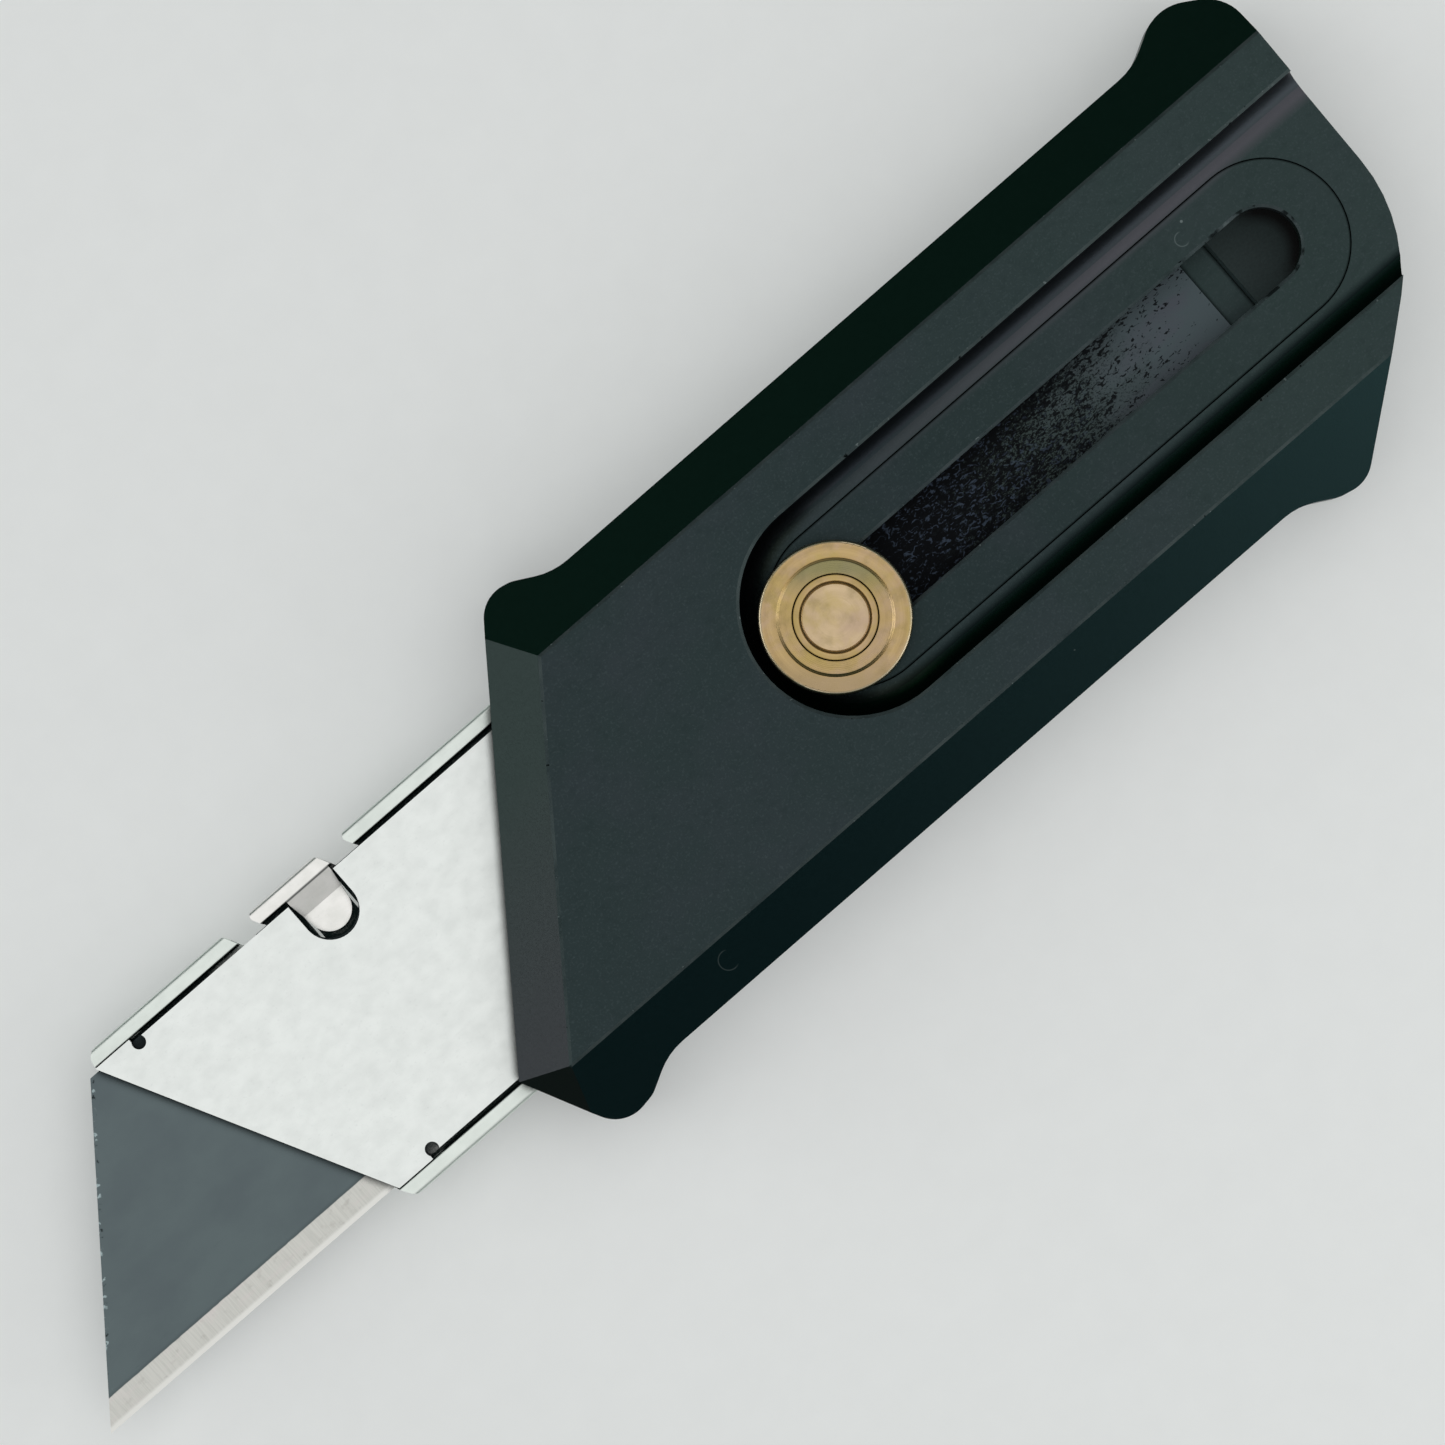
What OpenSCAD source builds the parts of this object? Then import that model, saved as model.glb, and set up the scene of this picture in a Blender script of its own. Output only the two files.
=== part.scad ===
// Pocket utility knife with a thumb button that slides a sheet-steel blade carrier.
// +X runs to the tail and -X to the blade tip, +Y is the spine side, and +Z is the face
// with the thumb channel. The knife lies on its back cover, on z = 0.

/* [Handle] */
// Length of the handle, nose tip to tail
body_len = 83.4; // [80:0.1:104]
// Thickness of the handle, back to face
body_t = 11.0; // [10.4:0.1:14]
// Width across the waist
waist_w = 29.4; // [27.5:0.1:36]
// Height of the four swells at the ends of the waist
swell = 1.9; // [1:0.1:3]
// Width of the flat face between the side chamfers
face_w = 22.0; // [18:0.1:25]
// Depth of the side chamfers where they meet the waist
side_drop = 2.9; // [1.5:0.1:4]
// Width of the nose chamfer, seen from above
nose_chamfer_w = 3.6; // [1.5:0.1:5]
// Depth of the nose chamfer at the nose edge
nose_drop = 2.6; // [1:0.1:4]
// Angle of the slanted nose edge
nose_angle = 53.4; // [45:0.1:70]
// Distance of the nose tip below the centre line
nose_tip_y = 9.6; // [8:0.1:10.5]
// Angle of the short edge between the nose tip and the front lower swell
heel_angle = 63.9; // [55:0.1:75]
// Radius of the swells' outer corners
swell_r = 2.4; // [1:0.1:2.5]
// Angle at which a swell runs out into the waist
swell_angle = 29; // [22:0.5:35]
// Angle of the diagonal between the tail and the rear lower swell
tail_angle = 40; // [30:1:50]
// Distance of the diagonal's upper end below the centre line
tail_low_y = 5.2; // [3:0.1:8]
// Length of the slope that takes the tail's upper corner off
tail_slope_l = 3.4; // [3:0.1:5]
// Height of that slope
tail_slope_h = 2.2; // [1:0.1:3]
// Thickness of the back cover
back_t = 2.6; // [2.4:0.1:4]
// Bevel round the back cover's outer edge
back_bevel = 1.0; // [0.4:0.1:1.4]
// Width of the narrow bevels that break the edges of the face and of the slot
edge_break = 0.22; // [0.1:0.02:0.3]

/* [Thumb channel] */
// Width of the thumb channel at the face
channel_w = 15.2; // [13.5:0.1:18]
// Depth of the thumb channel
channel_d = 2.8; // [2:0.1:3]
// Fillet between the channel's wall and its floor
channel_fillet = 1.85; // [0.5:0.05:1.9]
// Distance from the nose tip to the centre of the channel's round front end
channel_front = 37.95; // [30:0.05:45]

/* [Slot insert] */
// Width of the slot that the button's hub runs in
slot_w = 5.3; // [4.4:0.1:6]
// Thickness of the insert's flange
flange_t = 1.45; // [1:0.05:1.8]
// How far the insert stands proud of the channel's floor
insert_proud = 0.05; // [0:0.05:0.2]
// Width of the insert's keel, which fills the opening under the flange
keel_w = 8.2; // [7.9:0.1:9]
// Distance from the rear end of the slot to the rear end of the insert
insert_tail = 3.45; // [2.9:0.05:4.5]
// Wall of the keel in front of the slot
keel_wall = 0.8; // [0.5:0.05:1]
// Length of the lock notches in the keel
notch_l = 1.9; // [1.6:0.1:3]

/* [Thumb button] */
// Diameter of the brass button
button_d = 10.4; // [8:0.1:11]
// Thickness of the button's head
button_t = 2.05; // [1.6:0.05:2.4]
// How far the button is pressed down to free the lock
press = 0.7; // [0.4:0.05:0.75]
// Travel of the button and the carrier along the slot
travel = 37.9; // [30:0.1:38.5]
// Distance from the centre of the channel's round end forward to the button's axis
button_lead = 1.55; // [1:0.05:1.7]
// Diameter of the post that ties the button to the carrier
post_d = 3.0; // [2.6:0.1:3.4]
// Diameter of the post's head
head_d = 4.6; // [4:0.1:5]
// Diameter of the line turned round the post's seat
ring_d = 5.8; // [5.4:0.1:6.4]
// Diameter of the step between the rim and the dished ring
dish_d = 8.0; // [7:0.1:9]
// Depth of the dished ring at its inner side
dish_depth = 0.3; // [0.1:0.05:0.5]

/* [Blade carrier] */
// Width over the carrier's folded edges
carrier_w = 21.8; // [21:0.1:22.4]
// Length of the carrier along its spine edge
carrier_len = 61.9; // [56:0.1:63]
// Thickness of the carrier's sheet steel
sheet_t = 0.6; // [0.5:0.05:0.7]
// Width of the folded lips
lip_w = 1.1; // [0.9:0.05:1.3]
// Outer radius of the folds
fold_r = 0.3; // [0.2:0.05:0.6]
// Slit between a lip and the top plate
lip_slit = 0.35; // [0.2:0.05:0.6]
// Slant of the carrier's front edge, measured from the long axis
carrier_angle = 62.4; // [50:0.1:80]
// Distance from the button's axis to the carrier's rear edge
carrier_tail = 4.4; // [4.2:0.1:5.2]
// Length of the slider block that carries the button
slider_len = 12.8; // [12.6:0.1:15]
// Width of the slider block
slider_w = 7.8; // [7.6:0.1:8]
// Height of the slider block
slider_h = 1.1; // [1:0.05:1.3]
// Distance from the blade latch's axis to the front end of its lip segment
latch_front = 4.3; // [3:0.1:5]
// Distance from the blade latch's axis to the rear end of its lip segment
latch_rear = 1.9; // [1.8:0.1:3]
// Gap in the lip at each end of the latch's segment
lip_gap = 2.05; // [1:0.05:3]
// Width of the latch's tongue at its round tip
tongue_w = 3.1; // [2.4:0.1:3.4]
// Width of the latch's tongue at the lip
tongue_root_w = 3.7; // [3:0.1:3.9]

/* [Blade] */
// Length of the blade's cutting edge
blade_len = 61.8; // [55:0.1:64]
// Width of the blade
blade_w = 19.0; // [17:0.1:19.4]
// Thickness of the blade
blade_t = 0.6; // [0.45:0.05:0.7]
// Slant of the blade's ends
blade_angle = 52.3; // [45:0.1:60]
// Width of the ground bevel on each side
bevel_w = 1.9; // [1:0.1:3]
// Distance from the blade's tip to the carrier's front corner
blade_reach = 15.4; // [8:0.1:20]
// Centre distance of the two notches in the blade's spine
notch_pitch = 6.9; // [6:0.1:9]
// Width of the two notches in the blade's spine
notch_w = 4.0; // [3.6:0.1:4.4]
// Depth of the two notches in the blade's spine
notch_depth = 3.9; // [3.4:0.1:4.4]

/* [Track] */
// Width of the steel wear strip in the back cover's floor
strip_w = 6.6; // [5.6:0.1:9]
// Distance from the button's axis forward to the wear strip's front end
strip_lead = 8.5; // [5:0.1:12]
// Thickness of the wear strip
strip_t = 0.6; // [0.3:0.05:0.9]
// Bare floor between the wear strip and the rear pad
strip_gap = 2.2; // [0.5:0.1:4]
// Length of the rear pad
pad_len = 7.3; // [5:0.1:9]

/* [Fasteners] */
// Diameter of the cover screws' shanks
screw_d = 2.0; // [1.6:0.1:2.2]
// Diameter of the cover screws' heads
screw_head_d = 3.4; // [2.8:0.1:3.6]
// Height of the cover screws' heads
screw_head_h = 1.2; // [0.8:0.1:1.4]
// How far the cover screws reach into the front shell
screw_reach = 4.0; // [3:0.1:5]
// Diameter of the dowel pins
dowel_d = 1.6; // [1:0.1:2]
// Length of the dowel pins
dowel_len = 4.0; // [3:0.1:5]
// Diameter of the carrier's rivets
rivet_d = 1.8; // [1.2:0.1:2.2]

/* [Clearances] */
// Running clearance round the carrier in its pocket, and over the slider block
run_gap = 0.15; // [0.1:0.05:0.25]
// Clearance between the blade and the sheets on each side of it
blade_gap = 0.05; // [0.03:0.01:0.1]
// Clearance of pieces that seat in a pocket
seat_gap = 0.08; // [0.04:0.01:0.12]
// Clearance round pins, rivets and screw shanks
pin_gap = 0.02; // [0.01:0.01:0.05]
// Clearance between the button's post and the hole that guides it
post_gap = 0.06; // [0.03:0.01:0.1]
// Gap round the post's head in its seat
head_gap = 0.12; // [0.05:0.01:0.2]
// Clearance between the hub of the button and the slot
hub_gap = 0.2; // [0.1:0.05:0.3]
// Gap under the button's head when it is pressed fully down
press_gap = 0.1; // [0.05:0.05:0.2]
// Free space behind the carrier at the end of its travel
end_gap = 0.5; // [0.2:0.1:1]

/* [Hidden] */
$fn = 72;

ARC_STEP = 7.5;     // degrees of turn for each side of a rounded corner
BREAK_SLOPE = 0.38; // slope of the narrow bevels that break an edge
BIG = 60;           // reach of cutting bodies past the knife
OVER = 1;           // how far a cut runs past a face
EPS = 0.01;         // overlap that joins two bodies of one piece

// Handle: lines of the outline
nose_x = -body_len / 2;
tail_x = body_len / 2;
waist_y = waist_w / 2;
swell_y = waist_y + swell;
face_y = face_w / 2;

// Channel, insert and button along X
channel_x = nose_x + channel_front;
button_x = channel_x - button_lead;
slot_end_x = button_x + travel;
insert_r = channel_w / 2 - channel_fillet;
insert_rear_x = slot_end_x + slot_w / 2 + insert_tail - insert_r;
keel_x = button_x - slot_w / 2 - keel_wall + keel_w / 2;

// Levels from the back face upwards
carrier_z = back_t + run_gap;
bed_z = carrier_z + sheet_t;
bed_t = blade_t + 2 * blade_gap;
plate_z = bed_z + bed_t;
plate_top = plate_z + sheet_t;
ceiling_z = plate_top + run_gap;
slider_top = plate_top + slider_h;
keel_z = slider_top + run_gap;
channel_z = body_t - channel_d;
insert_top = channel_z + insert_proud;
flange_z = insert_top - flange_t;

// Carrier plan
carrier_y = carrier_w / 2;
lip_y = carrier_y - lip_w;
plate_y = lip_y - lip_slit;
ear_y = lip_y - 0.05;
carrier_rear = button_x + carrier_tail;
carrier_front = carrier_rear - carrier_len;
tail_cut_x = 6.2;
tail_cut_y = 5.7;
pocket_y = carrier_y + run_gap;
pocket_rear = carrier_rear + travel + end_gap;

// Blade plan
blade_tip = carrier_front - blade_reach;
blade_mid = blade_tip + blade_len / 2;
latch_x = blade_mid + notch_pitch / 2;
blade_slope = blade_w / tan(blade_angle);

// Thumb button
hub_r = slot_w / 2 - hub_gap;
post_r = post_d / 2;
button_z = insert_top + press + press_gap;
button_top = button_z + button_t;
hub_z = slider_top;
seat_r = head_d / 2 + head_gap;
seat_z = button_top - 0.95;
ring_z = button_top - dish_depth + 0.05;
clip_r0 = 1.1;
clip_r = 2.5;
clip_t = 0.36;
clip_z = plate_z - clip_t - 0.07;
clip_hole_r = clip_r + 0.4;

// Corners of the handle's outline, counter-clockwise, as [x, y, radius]
nose_tip = [nose_x, -nose_tip_y];
nose_top = nose_tip + (swell_y + nose_tip_y) * [1 / tan(nose_angle), 1];
heel_foot = nose_tip + (swell_y - nose_tip_y) * [1 / tan(heel_angle), -1];
tail_low = [tail_x - 0.4, -tail_low_y];
tail_top_x = tail_x - tail_slope_l;
foot_rear = tail_low - (swell_y - tail_low_y) * [1 / tan(tail_angle), 1];

// A swell's top falls by a quarter of its height as far as its shoulder, and then runs out
// to the waist. The length of the top is negative where the waist lies in front of it.
function shoulder(x, side, top_l) = [x + top_l, side * (swell_y - swell / 4), shoulder_r];
function ramp_foot(x, side, top_l) =
    [x + top_l + sign(top_l) * swell * 0.75 / tan(swell_angle), side * waist_y, foot_r];
shoulder_r = 2;
foot_r = 5;
heel_top_l = 2.8;
rear_top_l = -2.1;
tail_top_l = -1.8;
nose_top_l = 2.1;
nose_tip_r = 0.15;
tail_low_r = 11.5;
tail_high_r = 3;
tail_top_r = 3.1;

BODY = [
    [nose_tip[0], nose_tip[1], nose_tip_r],
    [heel_foot[0], -swell_y, swell_r],
    shoulder(heel_foot[0], -1, heel_top_l),
    ramp_foot(heel_foot[0], -1, heel_top_l),
    ramp_foot(foot_rear[0], -1, rear_top_l),
    shoulder(foot_rear[0], -1, rear_top_l),
    [foot_rear[0], -swell_y, swell_r],
    [tail_low[0], tail_low[1], tail_low_r],
    [tail_x, swell_y - tail_slope_h, tail_high_r],
    [tail_top_x, swell_y, tail_top_r],
    shoulder(tail_top_x, 1, tail_top_l),
    ramp_foot(tail_top_x, 1, tail_top_l),
    ramp_foot(nose_top[0], 1, nose_top_l),
    shoulder(nose_top[0], 1, nose_top_l),
    [nose_top[0], nose_top[1], swell_r]
];

// Cover screws sit in the four swells, dowels in the walls of the waist
screw_y = swell_y - 3.3;
SCREWS = [
    [nose_top[0] + 0.9, screw_y], [heel_foot[0] + 1.9, -screw_y],
    [tail_top_x - 0.7, screw_y], [foot_rear[0] - 0.3, -screw_y]
];
dowel_y = (waist_y + pocket_y) / 2;
DOWELS = [[-8, dowel_y], [12, -dowel_y]];

// Rivets stand clear of the blade's ends and of the slider block
rivet_y = 6.5;
RIVETS = [
    [carrier_rear - 21.8, rivet_y], [carrier_rear - 2.8, rivet_y],
    [carrier_rear - 12.8, -rivet_y], [carrier_rear - 3.8, -rivet_y]
];
spring_rivet_x = button_x - 7.1;
SPRING_RIVETS = [[spring_rivet_x, 2.3], [spring_rivet_x, -2.3]];

// ---- Outlines with rounded corners ----

function unit(v) = v / norm(v);
function xy(p) = [p[0], p[1]];
function near(points, i) = points[(i + len(points)) % len(points)];

// Points of the arc that rounds the corner p between its neighbours a and b
function corner(a, p, b) =
    p[2] == 0 ? [xy(p)] :
    let (
        u = unit(xy(a) - xy(p)),
        v = unit(xy(b) - xy(p)),
        half = acos(u * v) / 2,
        centre = xy(p) + unit(u + v) * p[2] / sin(half),
        from = xy(p) + u * p[2] / tan(half) - centre,
        to = xy(p) + v * p[2] / tan(half) - centre,
        start = atan2(from[1], from[0]),
        turn = (atan2(to[1], to[0]) - start + 540) % 360 - 180,
        steps = max(2, ceil(abs(turn) / ARC_STEP))
    )
    [for (i = [0:steps]) let (angle = start + turn * i / steps)
        centre + p[2] * [cos(angle), sin(angle)]];

function rounded(corners) =
    [for (i = [0:len(corners) - 1]) each corner(near(corners, i - 1), corners[i], near(corners, i + 1))];

// Flat slot shape with round ends between two points on the centre line
module stadium(x1, x2, r, h) {
    linear_extrude(h) {
        translate([x1, 0]) circle(r);
        translate([x2, 0]) circle(r);
        translate([x1, -r]) square([x2 - x1, 2 * r]);
    }
}

module body_outline() { polygon(rounded(BODY)); }

// ---- Front shell ----

// Cuts away what lies above a plane that leaves the face at the point p. The plane falls
// away to the left of the direction angle, with the given slope. A second plane of about
// half the slope breaks the edge between the two.
module face_cut(p, angle, slope) {
    for (cut = [[0, slope], [edge_break / 2, slope / 2]])
        translate([p[0], p[1], body_t])
            rotate([0, 0, angle])
                translate([-BIG * 2, -cut[0], 0])
                    rotate([-atan(cut[1]), 0, 0])
                        translate([0, -OVER, 0])
                            cube([BIG * 4, BIG, BIG]);
}

// Face corners: the nose chamfer's upper line crosses the side chamfers' upper lines
nose_line = nose_tip + nose_chamfer_w * [sin(nose_angle), -cos(nose_angle)];
face_a = [nose_line[0] + (face_y - nose_line[1]) / tan(nose_angle), face_y];
face_b = [nose_line[0] - (face_y + nose_line[1]) / tan(nose_angle), -face_y];
side_slope = side_drop / (waist_y - face_y);
nose_slope = nose_drop / nose_chamfer_w;
heel_normal = [-sin(heel_angle), -cos(heel_angle)];
heel_slope = nose_drop / ((nose_tip - face_b) * heel_normal);

module face_chamfers() {
    face_cut([0, face_y], 0, side_slope);
    face_cut([0, -face_y], 180, side_slope);
    face_cut(face_a, nose_angle, nose_slope);
    face_cut(face_b, 180 - heel_angle, heel_slope);
}

// Half section of the thumb channel, from its centre line outwards, floor at y = 0
module channel_section() {
    edge_low = channel_d - BREAK_SLOPE * edge_break;
    square([insert_r, channel_d + OVER]);
    translate([0, channel_fillet]) square([channel_w / 2, channel_d - channel_fillet]);
    translate([insert_r, channel_fillet]) circle(channel_fillet);
    polygon([
        [0, edge_low], [channel_w / 2, edge_low],
        [channel_w / 2 + edge_break + OVER / BREAK_SLOPE, channel_d + OVER], [0, channel_d + OVER]
    ]);
}

module thumb_channel() {
    translate([channel_x, 0, channel_z]) {
        rotate_extrude() channel_section();
        rotate([90, 0, 90]) linear_extrude(BIG) {
            channel_section();
            mirror([1, 0]) channel_section();
        }
    }
}

// Plan of the carrier's rear end and of the pocket that it runs in
module tail_plan(front, rear, half_w) {
    polygon([
        [front, -half_w], [rear - tail_cut_x, -half_w], [rear, -half_w + tail_cut_y],
        [rear, half_w], [front, half_w]
    ]);
}

module screw_holes(r, z, h) {
    for (p = SCREWS) translate([p[0], p[1], z]) cylinder(r = r, h = h);
}

module dowel_holes() {
    for (p = DOWELS) translate([p[0], p[1], back_t - dowel_len / 2 - pin_gap])
        cylinder(r = dowel_d / 2 + pin_gap, h = dowel_len + 2 * pin_gap);
}

module front_shell() {
    color("#2b2e31") difference() {
        translate([0, 0, back_t]) linear_extrude(body_t - back_t) body_outline();
        face_chamfers();
        thumb_channel();
        // pocket for the carrier, open at the nose
        translate([0, 0, back_t - OVER]) linear_extrude(ceiling_z - back_t + OVER)
            tail_plan(nose_x - BIG, pocket_rear, pocket_y);
        // groove for the slider block
        translate([button_x - slider_len, -slider_w / 2 - run_gap, ceiling_z - OVER])
            cube([pocket_rear - button_x + slider_len, slider_w + 2 * run_gap, keel_z - ceiling_z + OVER]);
        // opening for the insert's keel, and the seat of its flange
        translate([0, 0, keel_z - OVER])
            stadium(keel_x, insert_rear_x, keel_w / 2 + seat_gap, flange_z - keel_z + 2 * OVER);
        translate([0, 0, flange_z])
            stadium(channel_x, insert_rear_x, insert_r, body_t);
        screw_holes(screw_d / 2 + pin_gap, back_t - OVER, screw_reach + OVER + 0.4);
        dowel_holes();
    }
}

// ---- Back cover ----

module back_cover() {
    back_scale = [1 - back_bevel / tail_x, 1 - back_bevel / swell_y];
    color("#26292b") difference() {
        union() {
            translate([0, 0, back_bevel]) linear_extrude(back_t - back_bevel) body_outline();
            // bevel, on which the outline shrinks towards the back face
            translate([0, 0, back_bevel + EPS]) mirror([0, 0, 1])
                linear_extrude(back_bevel + EPS, scale = back_scale, slices = 1) body_outline();
        }
        screw_holes(screw_d / 2 + pin_gap, -OVER, back_t + 2 * OVER);
        screw_holes(screw_head_d / 2 + seat_gap, -OVER, screw_head_h + OVER);
        dowel_holes();
        // recess for the wear strip and the rear pad
        translate([strip_front - seat_gap, -strip_w / 2 - seat_gap, back_t - strip_t])
            cube([pad_rear - strip_front + 2 * seat_gap, strip_w + 2 * seat_gap, strip_t + OVER]);
    }
}

strip_front = button_x - strip_lead;
pad_rear = pocket_rear - seat_gap;
strip_rear = pad_rear - pad_len - strip_gap;

module wear_strip() {
    color("#8d8b93") translate([strip_front, -strip_w / 2, back_t - strip_t])
        cube([strip_rear - strip_front, strip_w, strip_t - 0.02]);
}

module rear_pad() {
    pad_t = strip_t - 0.02;
    lead = 0.2;
    color("#2f3335") translate([pad_rear - pad_len, strip_w / 2, back_t - strip_t]) rotate([90, 0, 0])
        linear_extrude(strip_w)
            polygon([[0, 0], [pad_len, 0], [pad_len, pad_t], [lead, pad_t], [0, pad_t - lead]]);
}

// ---- Slot insert ----

module slot_insert() {
    color("#303436") difference() {
        union() {
            translate([0, 0, flange_z])
                stadium(channel_x, insert_rear_x, insert_r - seat_gap, flange_t);
            translate([0, 0, keel_z])
                stadium(keel_x, insert_rear_x, keel_w / 2, flange_z - keel_z + EPS);
        }
        translate([0, 0, keel_z - OVER]) stadium(button_x, slot_end_x, slot_w / 2, body_t);
        // broken edge round the top of the slot
        break_h = BREAK_SLOPE * edge_break;
        hull() for (x = [button_x, slot_end_x]) translate([x, 0, insert_top - break_h])
            cylinder(r1 = slot_w / 2, r2 = slot_w / 2 + 2 * edge_break, h = 2 * break_h);
        // notches that take the ears of the lock spring, at both ends of the travel
        for (x = [button_x, slot_end_x])
            translate([x - notch_l / 2, -keel_w, keel_z - OVER])
                cube([notch_l, 2 * keel_w, flange_z - keel_z + OVER]);
    }
}

// ---- Fasteners of the handle ----

module cover_screws() {
    socket_r = screw_head_d * 0.26;
    color("#3a3d40") for (p = SCREWS) translate([p[0], p[1], 0]) difference() {
        union() {
            translate([0, 0, 0.1]) cylinder(r = screw_head_d / 2, h = screw_head_h - 0.1);
            translate([0, 0, screw_head_h - EPS])
                cylinder(r = screw_d / 2, h = back_t + screw_reach - screw_head_h);
        }
        translate([0, 0, -OVER]) cylinder(r = socket_r, h = OVER + screw_head_h * 0.6, $fn = 6);
    }
}

module dowel_pins() {
    color("silver") for (p = DOWELS) translate([p[0], p[1], back_t - dowel_len / 2])
        cylinder(r = dowel_d / 2, h = dowel_len);
}

// ---- Blade carrier ----

latch_from = latch_x - latch_front;
latch_to = latch_x + latch_rear;
lip_slant = 0.38;
lip_end_r = 0.4;
lip_edge_r = 0.12;

// Plan of the channel: folded edges, a slanted front, a corner cut off at the rear, and the
// spine side's lip in two stretches with slanted ends, in front of the blade latch and behind it
module channel_plan() {
    front_low = carrier_front + 2 * plate_y / tan(carrier_angle);
    lap = plate_y - 0.05;
    difference() {
        union() {
            polygon(rounded([
                [carrier_front, plate_y, 0], [front_low, -plate_y, 0.3],
                [front_low + 0.9, -carrier_y, 0.8],
                [carrier_rear - tail_cut_x, -carrier_y, 0.8], [carrier_rear, -carrier_y + tail_cut_y, 0.8],
                [carrier_rear, plate_y, 0]
            ]));
            polygon(rounded([
                [carrier_front, lap, 0], [latch_from - lip_gap + lip_slant, lap, 0],
                [latch_from - lip_gap - lip_slant, carrier_y, lip_end_r],
                [carrier_front + 0.2, carrier_y, 0.9]
            ]));
            polygon(rounded([
                [latch_to + lip_gap + lip_slant, lap, 0], [carrier_rear, lap, 0],
                [carrier_rear, carrier_y, 0.8], [latch_to + lip_gap - lip_slant, carrier_y, lip_end_r]
            ]));
        }
        // window that the arm of the blade latch lies in
        translate([latch_x - arm_w / 2 - arm_gap, arm_root]) square([arm_w + 2 * arm_gap, carrier_y]);
    }
}

arm_w = 3.0;
arm_gap = 0.2;
arm_root = 1.5;

// Section of the folded edge, as seen along X: a sheet that turns up and back in
module fold_section() {
    h = 2 * sheet_t + bed_t;
    difference() {
        polygon(rounded([
            [-carrier_y, 0, fold_r], [carrier_y, 0, fold_r], [carrier_y, h, fold_r], [lip_y, h, lip_edge_r],
            [lip_y, h - sheet_t, lip_edge_r], [-lip_y, h - sheet_t, lip_edge_r], [-lip_y, h, lip_edge_r],
            [-carrier_y, h, fold_r]
        ]));
        translate([-carrier_y + sheet_t, sheet_t]) square([carrier_w - 2 * sheet_t, bed_t]);
    }
}

module carrier_channel() {
    color("#c9cccc") difference() {
        intersection() {
            translate([carrier_front - OVER, 0, carrier_z]) rotate([90, 0, 90])
                linear_extrude(carrier_len + 2 * OVER) fold_section();
            translate([0, 0, carrier_z - OVER]) linear_extrude(body_t) channel_plan();
        }
        translate([button_x, 0, carrier_z - OVER]) cylinder(r = clip_hole_r, h = sheet_t + 2 * OVER);
        rivet_holes();
        spring_rivet_holes();
    }
}

// Plan of the top plate, with its ears, relief notches and the window over the blade latch
module plate_plan() {
    ear_l = 3.0;
    relief_r = 0.5;
    front_low = carrier_front + 2 * ear_y / tan(carrier_angle);
    difference() {
        polygon([
            [carrier_front, ear_y], [front_low, -ear_y], [front_low + ear_l, -ear_y],
            [front_low + ear_l, -plate_y], [carrier_rear - tail_cut_x, -plate_y],
            [carrier_rear, -carrier_y + tail_cut_y], [carrier_rear, plate_y],
            [carrier_front + ear_l, plate_y], [carrier_front + ear_l, ear_y]
        ]);
        translate([carrier_front + ear_l + relief_r * 0.8, plate_y - relief_r / 2]) circle(relief_r);
        translate([front_low + ear_l + relief_r * 0.8, -plate_y + relief_r / 2]) circle(relief_r);
        translate([latch_x, plate_y - window_r]) circle(window_r);
        translate([latch_x - window_r, plate_y - window_r]) square([2 * window_r, 2 * window_r]);
    }
}

window_r = 2.0;

module carrier_plate() {
    color("#dfe1e1") difference() {
        translate([0, 0, plate_z]) linear_extrude(sheet_t) plate_plan();
        translate([button_x, 0, plate_z - OVER]) cylinder(r = post_r + post_gap, h = sheet_t + 2 * OVER);
        rivet_holes();
        spring_rivet_holes();
    }
}

// Spring latch for the blade: an arm in the window of the channel, a folded lip segment and
// a tongue that drops through the plate into the blade's notch
module blade_latch() {
    tongue_t = 0.45;
    tongue_r = tongue_w / 2;
    root_r = tongue_root_w / 2;
    bend_y = plate_y - 1.2;
    tip_y = plate_y - 2 * window_r + 0.6;
    low_z = bed_z + blade_gap + 0.05;
    color("#cfd2d2") {
        intersection() {
            translate([latch_from - 2 * OVER, 0, carrier_z]) rotate([90, 0, 90])
                linear_extrude(latch_to - latch_from + 4 * OVER) fold_section();
            translate([0, 0, carrier_z - OVER]) linear_extrude(body_t) polygon(rounded([
                [latch_from + lip_slant, plate_y, 0], [latch_to + lip_slant, plate_y, 0],
                [latch_to - lip_slant, carrier_y, lip_end_r], [latch_from - lip_slant, carrier_y, lip_end_r]
            ]));
        }
        // arm, welded to the channel at its root
        translate([latch_x - arm_w / 2, arm_root, carrier_z])
            cube([arm_w, plate_y + 0.2 - arm_root, sheet_t]);
        // tongue
        intersection() {
            translate([latch_x - 2 * root_r, 0, 0]) rotate([90, 0, 90]) linear_extrude(4 * root_r)
                polygon([
                    [lip_y + 0.4, plate_top], [lip_y, plate_top - 0.02], [bend_y, low_z + tongue_t],
                    [tip_y, low_z + tongue_t], [tip_y, low_z], [bend_y + 0.15, low_z],
                    [lip_y, plate_z + 0.02], [lip_y + 0.4, plate_z]
                ]);
            translate([latch_x, tip_y + tongue_r, bed_z]) linear_extrude(2 * body_t) {
                circle(tongue_r);
                polygon([
                    [-tongue_r, 0], [tongue_r, 0], [root_r, plate_y - tip_y - tongue_r], [root_r, carrier_y],
                    [-root_r, carrier_y], [-root_r, plate_y - tip_y - tongue_r]
                ]);
            }
        }
    }
}

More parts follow.
